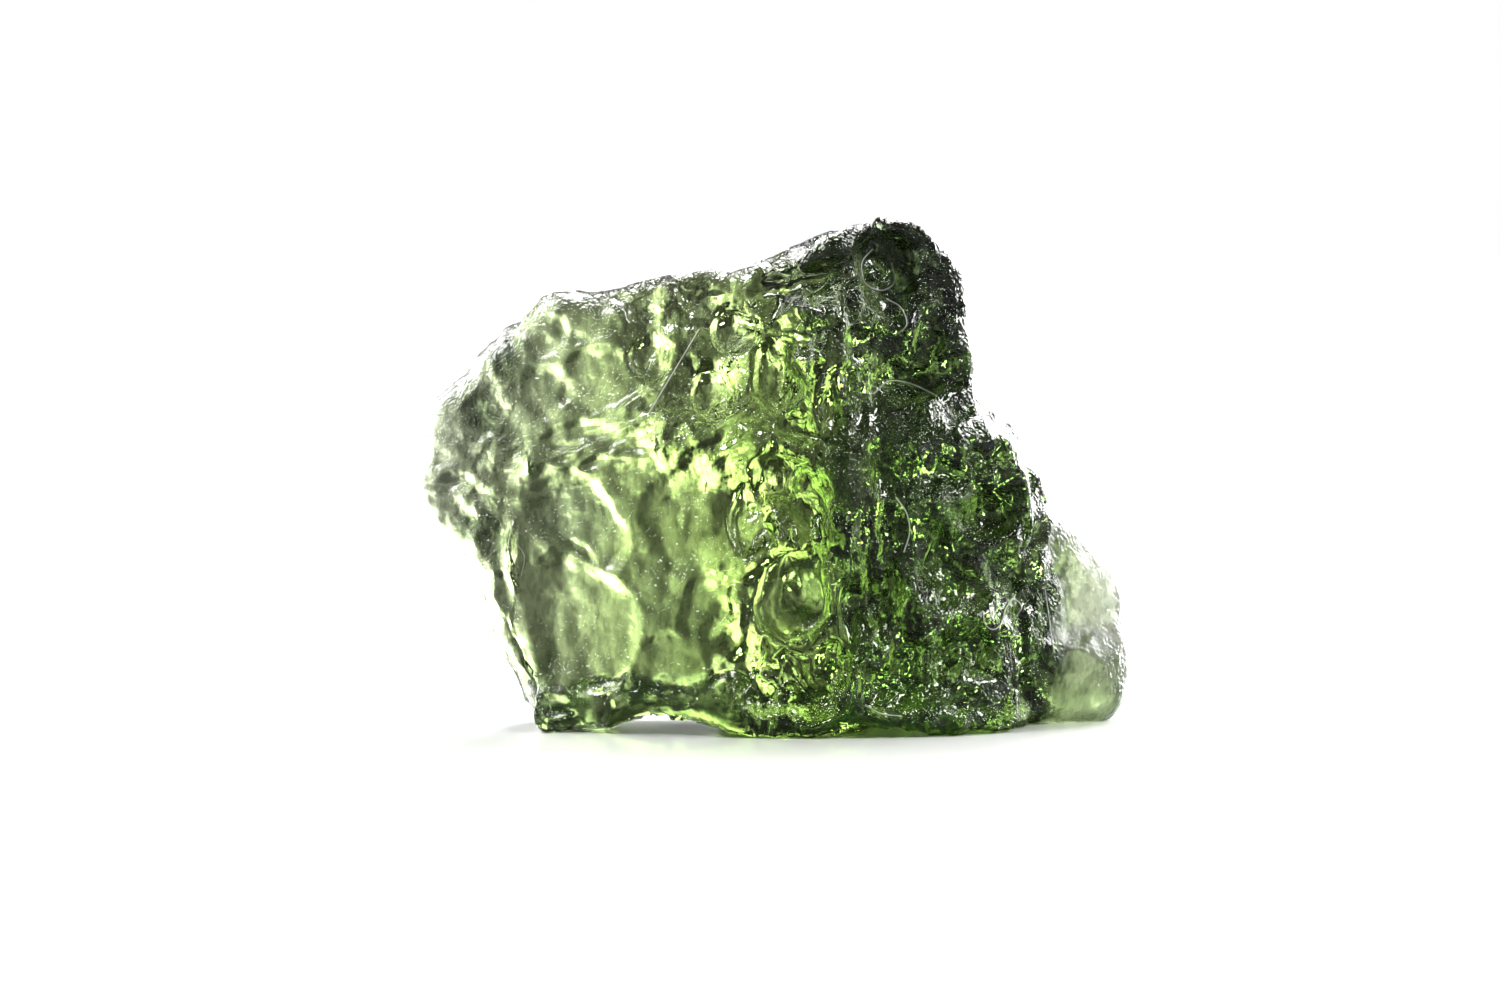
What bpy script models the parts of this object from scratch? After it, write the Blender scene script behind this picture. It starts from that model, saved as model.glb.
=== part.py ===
"""A moldavite: one natural piece of green glass, upright on a small flat spot under its broad lower edge.

The stone is a thick wedge. Its sculpted front face is smaller than its back, so the left and right
ends run back to thin lobes. The front and back are laid out as reliefs over two outlines, a band
joins them, corrosion pits cover everything, and a level cut makes the spot that it stands on.

Axes: +X to the right along the broad face, +Y from the front face to the back, +Z up.
Outlines, pits and ledges are in millimetres, and the mesh is in metres.
"""

import math

import bmesh
import bpy
import numpy as np
from mathutils import Vector, noise
from mathutils.geometry import delaunay_2d_cdt

MM = 0.001

# Driving sizes, in millimetres
FACET = 0.54  # length of a triangle's side
GRID_SHIFT = 0.22  # how far a face's points stray from their grid, in facets
RIM_CLEARANCE = 0.55  # how far they stay from the rim, in facets
RIM_POINTS = 158  # points round each outline
BAND_RINGS = 12  # rings between the front rim and the back rim
FRONT_Y = -4.7  # the front face's foremost crest
BACK_Y = 4.5  # the back face's rearmost crest
HEART = (0.3, 8.8)  # x and z of the middle, which both outlines are seen whole from
FRONT_ROUNDING = 0.3  # how far the front rim is drawn in from the widest line behind it
BACK_ROUNDING = 1.1  # the same for the back rim
ROUNDED_SHARES = (0.1, 0.7)  # shares of the way back where the front rounding ends and the back one starts
BELLY_X = 1.2  # the underside hangs lowest here
BELLY_HALF_WIDTH = 6.0
BELLY_DROP = 1.7  # how far it hangs below the front and back edges
SNAP = 0.01  # points nearer than this to the level cut are put on it

# The faces' main slopes: each falls back from its crest by slope and bend, and leans back at the top
FRONT_CREST_X = 2.7
FRONT_LEFT_FALL = (0.085, 0.004)
FRONT_RIGHT_FALL = (0.20, 0.012)
FRONT_LEAN = 0.5
BACK_CREST_X = 3.4
BACK_LEFT_FALL = (0.10, 0.006)
BACK_RIGHT_FALL = (0.16, 0.008)
BACK_LEAN = 1.3
LEFT_LEDGE = (12.2, 1.4)  # z of the left ledge at x = 0, and how far the face above it is set back
RIGHT_LEDGE = (11.6, 0.9)  # the same for the right ledge, at x = 5

# The front face's outline, (x, z), clockwise from the lower left corner
FRONT_OUTLINE = [
    (-8.1, -0.3), (-8.6, 1.6), (-9.2, 3.6), (-9.5, 6.0), (-9.1, 8.6), (-8.8, 11.0),
    (-8.7, 13.6), (-8.4, 14.9), (-7.5, 15.6), (-5.7, 16.3), (-3.1, 16.8), (-1.0, 16.5),
    (0.5, 17.1), (2.2, 17.8), (3.7, 18.9), (5.1, 19.1), (6.4, 18.2), (7.0, 16.6),
    (7.2, 14.5), (7.3, 12.5), (8.1, 11.2), (9.3, 10.2), (10.3, 8.9), (10.4, 7.6),
    (9.7, 6.3), (9.4, 4.6), (9.7, 2.3), (9.8, -0.1), (6.9, 0.0), (3.2, 0.2),
    (-0.5, 0.2), (-4.7, 0.1), (-6.4, -0.2),
]  # fmt: skip

# The back's outline, where the thin lobes reach further left and right
BACK_OUTLINE = [
    (-7.8, 0.4), (-9.1, 2.4), (-10.2, 4.3), (-10.9, 5.8), (-11.5, 7.0), (-12.6, 7.9),
    (-12.9, 9.8), (-12.2, 11.3), (-11.0, 12.4), (-9.9, 13.3), (-9.1, 14.2), (-8.2, 14.8),
    (-6.2, 15.3), (-3.0, 15.7), (-1.0, 15.6), (1.0, 16.3), (3.4, 17.5), (5.6, 17.6),
    (6.9, 16.4), (7.2, 14.6), (7.1, 13.0), (7.8, 11.8), (9.4, 10.4), (10.7, 8.9),
    (11.5, 7.4), (12.0, 6.3), (12.9, 5.2), (13.0, 3.6), (13.1, 1.8), (12.8, -0.1),
    (10.6, 0.2), (5.0, 0.8), (0.0, 0.9), (-5.0, 0.8),
]  # fmt: skip

# Hollows in the front face: x, z, half width, half height, turn in degrees, depth
FRONT_HOLLOWS = [
    (-7.4, 4.1, 2.5, 3.2, 8, 2.0),  # the deep window at the lower left
    (-7.5, 8.1, 2.5, 1.7, -15, 0.9),
    (-6.2, 14.3, 3.3, 2.3, 10, 1.0),  # the pale window at the upper left
    (-3.7, 6.3, 1.9, 2.2, 10, 0.7),
    (-3.3, 9.0, 1.5, 1.2, 35, 0.7),
    (-2.5, 4.9, 1.1, 1.6, -15, 0.9),
    (0.9, 5.2, 1.4, 1.8, 5, 1.0),
    (-3.6, 2.3, 1.8, 1.5, 20, 0.6),
    (-0.7, 2.2, 1.3, 1.2, 0, 0.7),
    (1.9, 2.2, 1.2, 1.5, 0, 0.8),
    (-1.4, 14.9, 1.2, 0.9, 0, 0.8),
    (-2.1, 12.6, 1.2, 1.2, 10, 0.7),
    (0.5, 12.4, 1.1, 2.0, -10, 0.8),
    (-0.9, 8.2, 1.1, 1.9, 10, 0.7),
    (1.2, 8.9, 1.2, 1.7, 0, 0.9),
    (1.6, 16.3, 2.2, 1.0, 25, 0.8),
    (4.6, 16.8, 1.5, 1.9, 0, 1.0),  # the dark bowl under the peak
    (5.2, 13.2, 1.8, 1.3, -20, 1.0),
    (4.8, 9.1, 1.2, 2.2, 8, 0.9),
    (6.9, 9.7, 1.3, 0.9, -25, 0.6),
    (8.5, 8.2, 1.5, 1.1, 30, 0.8),
    (6.5, 6.4, 1.3, 1.8, -12, 0.8),
    (8.7, 5.3, 1.1, 1.4, 10, 0.7),
    (4.3, 4.9, 0.9, 1.9, 0, 0.7),
    (7.4, 3.2, 1.5, 1.0, 15, 0.8),
    (5.2, 1.9, 1.1, 1.3, 25, 0.8),
    (8.9, 1.6, 1.0, 1.4, -10, 0.6),
]  # fmt: skip

# Hollows in the back face, read in the same way
BACK_HOLLOWS = [
    (-7.8, 5.6, 3.0, 3.4, 10, 1.0),
    (-7.4, 12.0, 3.2, 2.7, -15, 0.9),
    (-3.0, 3.2, 2.4, 2.2, 0, 1.0),
    (-2.2, 8.6, 2.3, 2.7, 20, 0.9),
    (-2.4, 13.8, 2.4, 1.9, 0, 0.9),
    (2.6, 5.4, 2.1, 2.9, -10, 1.1),
    (2.4, 11.4, 2.0, 2.4, 0, 1.0),
    (1.6, 15.4, 1.6, 1.3, 20, 0.7),
    (5.4, 15.6, 1.7, 1.9, 0, 0.9),
    (6.4, 11.0, 1.9, 2.2, 30, 1.0),
    (6.4, 2.6, 2.0, 2.0, 0, 1.0),
    (7.8, 6.8, 2.0, 2.1, 0, 1.0),
    (11.2, 3.2, 1.9, 2.7, 0, 0.9),
]  # fmt: skip

# Corrosion that covers the whole surface
BOWL_SIZE = 4.3  # distance between neighbouring broad bowls, on the back and the sides
BOWL_DEPTH = 1.1
PIT_SIZE = 2.0  # distance between neighbouring pits
BOWL_RADIUS = 0.62  # of a bowl or a pit, as a share of the distance to its neighbour
PIT_DEPTH = 0.45
SWELL_SIZE = 5.5  # broad lumps
SWELL_HEIGHT = 0.45
LEFT_CALM = 0.75  # share of the corrosion that the smooth left of the front face lacks


def smooth_step(low, high, value):
    """0 below low, 1 above high, and a soft slope between them."""
    share = min(1.0, max(0.0, (value - low) / (high - low)))
    return share * share * (3 - 2 * share)


def closed_curve(points, steps=12):
    """A smooth closed Catmull-Rom curve through the points."""
    points = np.array(points, float)
    before, after, beyond = np.roll(points, 1, 0), np.roll(points, -1, 0), np.roll(points, -2, 0)
    curve = []
    for t in np.arange(steps) / steps:
        curve.append(
            0.5
            * (
                2 * points
                + (after - before) * t
                + (2 * before - 5 * points + 4 * after - beyond) * t**2
                + (3 * points - before - 3 * after + beyond) * t**3
            )
        )
    return np.stack(curve, 1).reshape(-1, 2)


def reach_of(outline):
    """The outline's distance from HEART at each of RIM_POINTS even angles."""
    arms = closed_curve(outline) - HEART
    angles = np.arctan2(arms[:, 1], arms[:, 0])
    order = np.argsort(angles)
    rim_angles = np.linspace(-math.pi, math.pi, RIM_POINTS, endpoint=False)
    return np.interp(rim_angles, angles[order], np.hypot(*arms.T)[order], period=2 * math.pi)


def rim_at(reach):
    """Points (x, z) round HEART at the given distances."""
    angles = np.linspace(-math.pi, math.pi, RIM_POINTS, endpoint=False)
    return np.stack([HEART[0] + reach * np.cos(angles), HEART[1] + reach * np.sin(angles)], 1)


def hollow_depth(hollows, x, z):
    """How deep the deepest hollow is at (x, z). Where two meet, a sharp crest is left between them."""
    deepest = 0.0
    for cx, cz, half_width, half_height, turn, depth in hollows:
        angle = math.radians(turn)
        u = (x - cx) * math.cos(angle) + (z - cz) * math.sin(angle)
        v = (z - cz) * math.cos(angle) - (x - cx) * math.sin(angle)
        away = (u / half_width) ** 2 + (v / half_height) ** 2
        if away < 1.0:
            deepest = max(deepest, depth * (1 - away))
    return deepest


def fall(away, slope, bend):
    """How far a face has fallen back at a distance from its crest."""
    away = max(0.0, away)
    return slope * away + bend * away**2


def front_y(x, z):
    """The front face: an upright crest right of the middle, two uneven ledges, and the hollows."""
    crest = FRONT_CREST_X + 0.35 * math.sin(0.8 * z)
    falls = fall(crest - x, *FRONT_LEFT_FALL) + fall(x - crest, *FRONT_RIGHT_FALL)
    left_z = LEFT_LEDGE[0] + 0.18 * x + 0.25 * math.sin(1.1 * x)
    falls += LEFT_LEDGE[1] * smooth_step(-1.3, 0.9, z - left_z) * smooth_step(2.5, -1.5, x)
    right_z = RIGHT_LEDGE[0] - 0.12 * (x - 5.0) + 0.4 * math.sin(1.3 * x)
    falls += RIGHT_LEDGE[1] * smooth_step(-0.7, 0.7, z - right_z) * smooth_step(2.6, 4.4, x)
    falls += FRONT_LEAN * smooth_step(13.0, 19.3, z)
    return FRONT_Y + falls + hollow_depth(FRONT_HOLLOWS, x, z)


def back_y(x, z):
    """The back face: an upright ridge right of the middle that falls away to both thin ends."""
    crest = BACK_CREST_X - 0.12 * (z - HEART[1])
    falls = fall(crest - x, *BACK_LEFT_FALL) + fall(x - crest, *BACK_RIGHT_FALL)
    falls += BACK_LEAN * smooth_step(10.0, 19.0, z)
    return BACK_Y - falls - hollow_depth(BACK_HOLLOWS, x, z)


def face_points(rim):
    """Points (x, z) on a staggered grid inside the rim, FACET apart and clear of it."""
    reach = np.hypot(*(rim - HEART).T)
    low, high = rim.min(0), rim.max(0)
    found = []
    row_height = FACET * math.sin(math.radians(60))
    for row, z in enumerate(np.arange(low[1], high[1], row_height)):
        for x in np.arange(low[0] + (row % 2) * FACET / 2, high[0], FACET):
            shift = noise.noise_vector((3.1 * x, 0.5, 3.1 * z)) * GRID_SHIFT * FACET
            point = np.array([x + shift.x, z + shift.y])
            arm = point - HEART
            place = (math.atan2(arm[1], arm[0]) + math.pi) / (2 * math.pi) * RIM_POINTS
            edge = np.interp(place, np.arange(RIM_POINTS), reach, period=RIM_POINTS)
            if np.hypot(*arm) < edge - RIM_CLEARANCE * FACET:
                found.append(point)
    return np.array(found)


def add_face(mesh, rim, rim_verts, height, faces_back):
    """Fills the rim with triangles that follow the relief height(x, z)."""
    inner = face_points(rim)
    flat = [Vector(p) for p in np.concatenate([rim, inner])]
    rounds = [[i, (i + 1) % len(rim)] for i in range(len(rim))]
    points, _, triangles, *_ = delaunay_2d_cdt(flat, rounds, [], 1, 1e-6)
    verts = list(rim_verts)
    for x, z in points[len(rim):]:
        verts.append(mesh.verts.new((x, height(x, z), z)))
    for a, b, c in triangles:
        corners = (a, b, c) if not faces_back else (a, c, b)
        mesh.faces.new([verts[i] for i in corners])


def belly(x, z, t):
    """How far the underside hangs down at a share t of the way from the front rim to the back rim."""
    along = smooth_step(1.0, 0.0, abs(x - BELLY_X) / BELLY_HALF_WIDTH)
    return BELLY_DROP * along * math.sin(math.pi * t) * smooth_step(3.0, 1.2, z)


def blank_stone():
    """The stone's main form: the front relief, the band round the sides, and the back relief."""
    mesh = bmesh.new()
    front_reach, back_reach = reach_of(FRONT_OUTLINE), reach_of(BACK_OUTLINE)
    front_rim = rim_at(front_reach - FRONT_ROUNDING)
    back_rim = rim_at(back_reach - BACK_ROUNDING)
    front_edge = np.array([front_y(x, z) for x, z in front_rim])
    back_edge = np.array([back_y(x, z) for x, z in back_rim])
    front_end, back_start = ROUNDED_SHARES
    rings = []
    for ring in range(BAND_RINGS + 1):
        t = ring / BAND_RINGS
        spread = smooth_step(front_end, back_start, t)
        drawn_in = FRONT_ROUNDING * max(0.0, 1 - t / front_end) ** 2
        drawn_in += BACK_ROUNDING * max(0.0, (t - back_start) / (1 - back_start)) ** 2
        outline = rim_at(front_reach * (1 - spread) + back_reach * spread - drawn_in)
        depth = front_edge * (1 - t) + back_edge * t
        rings.append([mesh.verts.new((x, y, z - belly(x, z, t))) for (x, z), y in zip(outline, depth)])
    for near, far in zip(rings, rings[1:]):
        for i in range(RIM_POINTS):
            j = (i + 1) % RIM_POINTS
            mesh.faces.new((near[i], far[i], far[j], near[j]))
    add_face(mesh, front_rim, rings[0], front_y, faces_back=False)
    add_face(mesh, back_rim, rings[-1], back_y, faces_back=True)
    bmesh.ops.triangulate(mesh, faces=mesh.faces[:])
    bmesh.ops.recalc_face_normals(mesh, faces=mesh.faces[:])
    return mesh


def cell_bowl(point, size):
    """0 at the middle of the nearest bowl and 1 at the crests between bowls, for bowls about size apart."""
    distances, _ = noise.voronoi(point / size)
    return min(1.0, (distances[0] / BOWL_RADIUS) ** 2)


def corrode(mesh):
    """Moves every point along its own normal, by the bowls, the pits and the broad lumps at its place."""
    mesh.normal_update()
    moves = []
    for vert in mesh.verts:
        on_front = smooth_step(0.3, 0.8, -vert.normal.y)
        calm = LEFT_CALM * on_front * smooth_step(0.5, -3.0, vert.co.x)
        bowl = BOWL_DEPTH * (cell_bowl(vert.co, BOWL_SIZE) - 0.7) * (1 - on_front)
        pit = PIT_DEPTH * (cell_bowl(vert.co, PIT_SIZE) - 0.6)
        swell = SWELL_HEIGHT * noise.noise(vert.co / SWELL_SIZE)
        moves.append(vert.normal * ((bowl + pit) * (1 - calm) + swell))
    for vert, move in zip(mesh.verts, moves):
        vert.co += move


def cut_flat_spot(mesh):
    """Cuts the stone off level at z = 0, where it rests, and closes each cut with one flat face."""
    for vert in mesh.verts:
        if abs(vert.co.z) < SNAP:
            vert.co.z = 0.0
    everything = mesh.verts[:] + mesh.edges[:] + mesh.faces[:]
    bmesh.ops.bisect_plane(
        mesh, geom=everything, dist=1e-5, plane_co=(0, 0, 0), plane_no=(0, 0, 1), clear_inner=True
    )
    open_edges = [edge for edge in mesh.edges if edge.is_boundary]
    bmesh.ops.holes_fill(mesh, edges=open_edges, sides=0)
    bmesh.ops.recalc_face_normals(mesh, faces=mesh.faces[:])


def centre_and_scale(mesh):
    """Puts the middle of the stone's box over the origin and turns millimetres to metres."""
    places = np.array([vert.co for vert in mesh.verts])
    middle = (places.min(0) + places.max(0)) / 2
    for vert in mesh.verts:
        vert.co = Vector((vert.co.x - middle[0], vert.co.y - middle[1], vert.co.z)) * MM


def green_glass():
    """Moldavite glass: green, glossy and clear enough to let light through."""
    material = bpy.data.materials.new("moldavite_glass")
    material.use_nodes = True
    shader = material.node_tree.nodes["Principled BSDF"]
    shader.inputs["Base Color"].default_value = (0.22, 0.36, 0.08, 1)
    shader.inputs["Roughness"].default_value = 0.15
    shader.inputs["Metallic"].default_value = 0.0
    shader.inputs["IOR"].default_value = 1.49
    shader.inputs["Transmission Weight"].default_value = 0.9
    return material


def make_moldavite():
    mesh = blank_stone()
    corrode(mesh)
    cut_flat_spot(mesh)
    centre_and_scale(mesh)
    data = bpy.data.meshes.new("moldavite")
    mesh.to_mesh(data)
    mesh.free()
    data.materials.append(green_glass())
    stone = bpy.data.objects.new("moldavite", data)
    bpy.context.scene.collection.objects.link(stone)
    return stone


for old in list(bpy.data.objects):
    bpy.data.objects.remove(old)
make_moldavite()
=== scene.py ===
# %% [markdown]
# # A moldavite, the green glass of an ancient impact
# A moldavite is one solid piece of natural glass. Groundwater has etched it for millions of years, so it is
# covered in bowls, flutes and fine grain, and light from behind makes it glow green where it is thin.
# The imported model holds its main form. This script copies that form, gives it a fine surface and glass
# that light passes through, and then sets up the floor, the lights and the camera.

# %% Load the frame
import math

import bmesh
import bpy
import numpy as np
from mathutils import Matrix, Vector, noise


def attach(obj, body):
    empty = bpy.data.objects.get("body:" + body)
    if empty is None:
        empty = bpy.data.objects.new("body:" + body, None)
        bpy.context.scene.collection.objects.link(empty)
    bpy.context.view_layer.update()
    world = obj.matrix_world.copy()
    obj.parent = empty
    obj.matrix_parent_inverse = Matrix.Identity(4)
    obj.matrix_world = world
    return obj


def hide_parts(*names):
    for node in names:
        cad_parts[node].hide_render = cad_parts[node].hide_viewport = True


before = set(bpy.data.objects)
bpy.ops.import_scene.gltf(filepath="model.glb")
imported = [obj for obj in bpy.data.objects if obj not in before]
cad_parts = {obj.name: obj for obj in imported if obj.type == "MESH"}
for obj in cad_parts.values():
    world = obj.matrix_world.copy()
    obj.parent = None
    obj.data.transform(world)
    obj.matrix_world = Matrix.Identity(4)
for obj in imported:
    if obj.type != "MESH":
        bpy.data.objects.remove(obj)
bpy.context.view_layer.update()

MM = 0.001


# %% [markdown]
# ## A blank to carve
# The solid has facets half a millimetre long, far too coarse for etched glass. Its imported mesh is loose
# triangles, so it is merged first. One subdivision rounds the facets, and a voxel remesh then lays an even
# skin of small squares over them. Even squares matter: a carved detail comes out the same wherever it lies.

# %% Make the blank
SKIN = 0.135 * MM  # side of one square of the skin
SAME_PLACE = 0.002 * MM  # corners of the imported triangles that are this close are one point


def plain_result(piece, name):
    """The piece as its modifiers leave it, as a plain mesh object in its place."""
    graph = bpy.context.evaluated_depsgraph_get()
    mesh = bpy.data.meshes.new_from_object(piece.evaluated_get(graph), depsgraph=graph)
    made = bpy.data.objects.new(name, mesh)
    bpy.context.scene.collection.objects.link(made)
    bpy.data.objects.remove(piece)
    return made


def blank_from(solid):
    mesh = bmesh.new()
    mesh.from_mesh(solid.data)
    bmesh.ops.remove_doubles(mesh, verts=mesh.verts[:], dist=SAME_PLACE)
    data = bpy.data.meshes.new("blank")
    mesh.to_mesh(data)
    mesh.free()
    blank = bpy.data.objects.new("blank", data)
    bpy.context.scene.collection.objects.link(blank)
    rounding = blank.modifiers.new("rounding", "SUBSURF")
    rounding.levels = rounding.render_levels = 1
    skin = blank.modifiers.new("skin", "REMESH")
    skin.mode = "VOXEL"
    skin.voxel_size = SKIN
    return plain_result(blank, "moldavite_glass")


stone = blank_from(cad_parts["moldavite"])
print("skin:", len(stone.data.vertices), "points,", len(stone.data.polygons), "squares")

# %% [markdown]
# ## Carving tools
# A sculptor's brush moves a surface in or out along its normal. Here a brush is a function from places to
# heights, and numpy works on all the points at once. Places are in millimetres, because that is the scale
# of what is carved.

# %% Read, move and relax the points


def places_of(piece):
    """All points, in millimetres."""
    flat = np.empty(len(piece.data.vertices) * 3)
    piece.data.vertices.foreach_get("co", flat)
    return flat.reshape(-1, 3) / MM


def normals_of(piece):
    flat = np.empty(len(piece.data.vertices) * 3)
    piece.data.vertex_normals.foreach_get("vector", flat)
    return flat.reshape(-1, 3)


def set_places(piece, places):
    piece.data.vertices.foreach_set("co", (places * MM).ravel())
    piece.data.update()


def relax(piece, rounds, share=0.5):
    """Moves each point towards the middle of its neighbours, which melts facets and steps away.

    The share is one number, or one for each point.
    """
    pairs = np.empty(len(piece.data.edges) * 2, dtype=np.int64)
    piece.data.edges.foreach_get("vertices", pairs)
    one, other = pairs.reshape(-1, 2).T
    count = np.bincount(pairs, minlength=len(piece.data.vertices))[:, None]
    places = places_of(piece)
    for _ in range(rounds):
        total = np.zeros_like(places)
        np.add.at(total, one, places[other])
        np.add.at(total, other, places[one])
        places += share * (total / count - places)
    set_places(piece, places)


def smooth_step(low, high, value):
    """0 at low, 1 at high, and a soft slope between them. The low end may be the larger number."""
    share = np.clip((value - low) / (high - low), 0, 1)
    return share * share * (3 - 2 * share)


def clouds(places, size, stretch=(1, 1, 1), seed=0.0):
    """Soft noise from -1 to 1 with lumps of that size, drawn out along the axes by stretch."""
    scaled = places / (size * np.array(stretch)) + seed
    return np.array([noise.noise(Vector(p)) for p in scaled])


HEART = (0.3, 8.8)  # x and z of the point that the outline goes round, in millimetres
TURN_STEP = 1.5  # the outline's reach is measured once in so many degrees
TURN_SOFT = 6  # the edge fades in and out over so many degrees on either side of where it starts and ends


def sharpen_edge(piece, from_angle, to_angle, width, gap):
    """Fills out the rounded back edge between two angles, counted from the right, so it is thin and bright.

    The width is how far in from the outline the edge starts to move, and the gap is how far short of the
    outline it stops, both in millimetres.
    """
    places = places_of(piece)
    right, up = places[:, 0] - HEART[0], places[:, 2] - HEART[1]
    angle = np.degrees(np.arctan2(up, right)) % 360
    reach = np.hypot(right, up)
    steps = round(360 / TURN_STEP)
    outline = np.zeros(steps + 1)
    np.maximum.at(outline, (angle / TURN_STEP).astype(int), reach)
    edge = np.interp(angle, (np.arange(steps) + 0.5) * TURN_STEP, outline[:steps])
    near = smooth_step(width, 0.4 * width, edge - reach) * smooth_step(-1.0, 0.5, places[:, 1])
    span = smooth_step(from_angle - TURN_SOFT, from_angle + TURN_SOFT, angle)
    span *= smooth_step(to_angle + TURN_SOFT, to_angle - TURN_SOFT, angle)
    near *= span
    stretch = 1 + near * np.maximum(edge - gap - reach, 0) / np.maximum(reach, 1)
    places[:, 0] = HEART[0] + right * stretch
    places[:, 2] = HEART[1] + up * stretch
    set_places(piece, places)


def flatten(piece, mask, share):
    """Draws the points under a mask towards the flat sheet that fits them best."""
    places = places_of(piece)
    x, y, z = places.T
    terms = np.stack([np.ones(len(x)), x, z], 1)
    sheet = terms @ np.linalg.lstsq(terms * mask[:, None], y * mask, rcond=None)[0]
    places[:, 1] += share * mask * (sheet - y)
    set_places(piece, places)


relax(stone, 9)  # melts the small steps that the remesh leaves
print("relaxed skin:", round(float(np.ptp(places_of(stone)[:, 1])), 2), "mm from front to back")

# %% [markdown]
# ## Where the glass is calm, milky, shaded or frosted
# The left of the front face is smooth and milky. The middle is cut by upright flutes, the right is rough
# and carries painted shade, as do the foot and patches on the left side, and both thin ends are frosted.
# Soft masks say so, with clouds in their edges because nothing on a natural stone ends along a clean line.
# The carving and the glass both read them.

# %% Paint the masks
SHADED_SIDE_PATCHES = [  # painted shade on pitted places of the left side: x, z, half width, half height
    (-10.4, 11.2, 0.7, 0.9),
    (-10.3, 7.2, 0.7, 1.2),
    (-9.7, 13.7, 0.7, 1.2),
    (-8.6, 1.8, 0.8, 1.0),
]
EDGE_LEVELS = [0, 4, 8, 10, 11, 13, 17]  # the calm part's right edge: at each of these heights
EDGE_PLACES = [-1.4, -1.6, -2.2, -3.6, -5.0, -5.0, -4.6]  # it lies at this x


def from_middle(oval, x, z):
    """How far points are from the middle of an oval, where 1 is its rim."""
    cx, cz, half_width, half_height = oval
    return np.hypot((x - cx) / half_width, (z - cz) / half_height)


# Each smooth_step is 0 at its first number and 1 at its second: a place in millimetres, or a slope.
places = places_of(stone)
normals = normals_of(stone)
x, y, z = places.T
FRONT = smooth_step(0.1, 0.5, -normals[:, 1]) * smooth_step(1.0, -0.5, y)
BACK = smooth_step(-0.2, 0.5, normals[:, 1])
CALM_BACK = BACK * smooth_step(2.5, -2.0, x)  # what shows through the windows
calm_edge = np.interp(z, EDGE_LEVELS, EDGE_PLACES) + 1.2 * clouds(places, 2.0, seed=5.5)
CALM = FRONT * smooth_step(1.2, -0.9, x - calm_edge)
MIDDLE = FRONT * smooth_step(-3.0, -1.5, x) * smooth_step(4.0, 2.5, x)
FLUTED = FRONT * smooth_step(-1.8, -0.4, x) * smooth_step(8.5, 2.5, x)
wave = 0.5 * clouds(places, 1.6, seed=4.4)
THIN_ENDS = np.maximum(smooth_step(9.6, 11.0, x + wave), 0.35 * smooth_step(-9.0, -10.2, x + wave))

# painted shade: the right side without its thin end, the foot and the patches on the left side get a dark
# tint where the glass lies in shade
PAINTED_SHADE = smooth_step(1.3, 2.9, x + 0.8 * clouds(places, 2.5, seed=9.1)) * smooth_step(10.9, 9.9, x)
# painted shade towards the bottom: the foot gets the dark tint
shaded_foot = z + 0.5 * clouds(places, 1.2, seed=2.9) - 0.5 * smooth_step(-5.5, -4.5, x)
PAINTED_SHADE = np.maximum(PAINTED_SHADE, 0.8 * smooth_step(1.4, 0.7, shaded_foot))
ragged = 0.9 * clouds(places, 0.8, seed=3.3)
# painted shade on the patches of the left side
for oval in SHADED_SIDE_PATCHES:
    PAINTED_SHADE = np.maximum(PAINTED_SHADE, 0.85 * smooth_step(0.1, 0.6, 1.3 - from_middle(oval, x, z) + ragged))
print("calm share of the front:", round(float(CALM.sum() / FRONT.sum()), 2))

# %% [markdown]
# ## Clear windows and a thin back edge
# Through clear glass the far side shows too, so any waviness there would blotch the calm windows. The real
# windows have no such blotches, so both sides are drawn towards a flat sheet there and relaxed. The upper
# left edge is thin and bright on the stone, while the blank's rounded edge would mirror the dark room, so
# it is filled out.

# %% Calm the windows and thin the edge
FLATNESS = 0.9  # 1 would make both sides of the windows wholly flat

for mask in (CALM, CALM_BACK):
    flatten(stone, mask, FLATNESS)
relax(stone, 60, 0.5 * np.maximum(CALM_BACK, CALM)[:, None])
sharpen_edge(stone, from_angle=92, to_angle=205, width=2.2, gap=0.2)
places = places_of(stone)
normals = normals_of(stone)
print("calm points:", int((CALM > 0.5).sum()), "in front and", int((CALM_BACK > 0.5).sum()), "behind")

# %% [markdown]
# ## Bowls, ridges and flutes on the front face
# Etching starts at points and eats outwards, which leaves round bowls with a thin sharp rim. Each is placed
# where the real stone shows it. The flutes are etched along the flow of the once molten glass:
# noise drawn out along the flow gives them, because its lumps become long ridges.

# %% Carve the front face
FLAT_FLOOR = 6  # a wall this steep or steeper leaves the bowl's floor flat
WARP = 0.12  # millimetres that noise pushes the ovals about
FLUTE_HEIGHT = 0.16
STREAK_HEIGHT = 0.16
CALM_HEIGHT = 0.02  # even the calm windows aren't quite flat
LEDGE_LEVEL, LEDGE_RISE = 12.0, 0.18  # height of the ledge at x = 0, and its rise to the right
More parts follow.
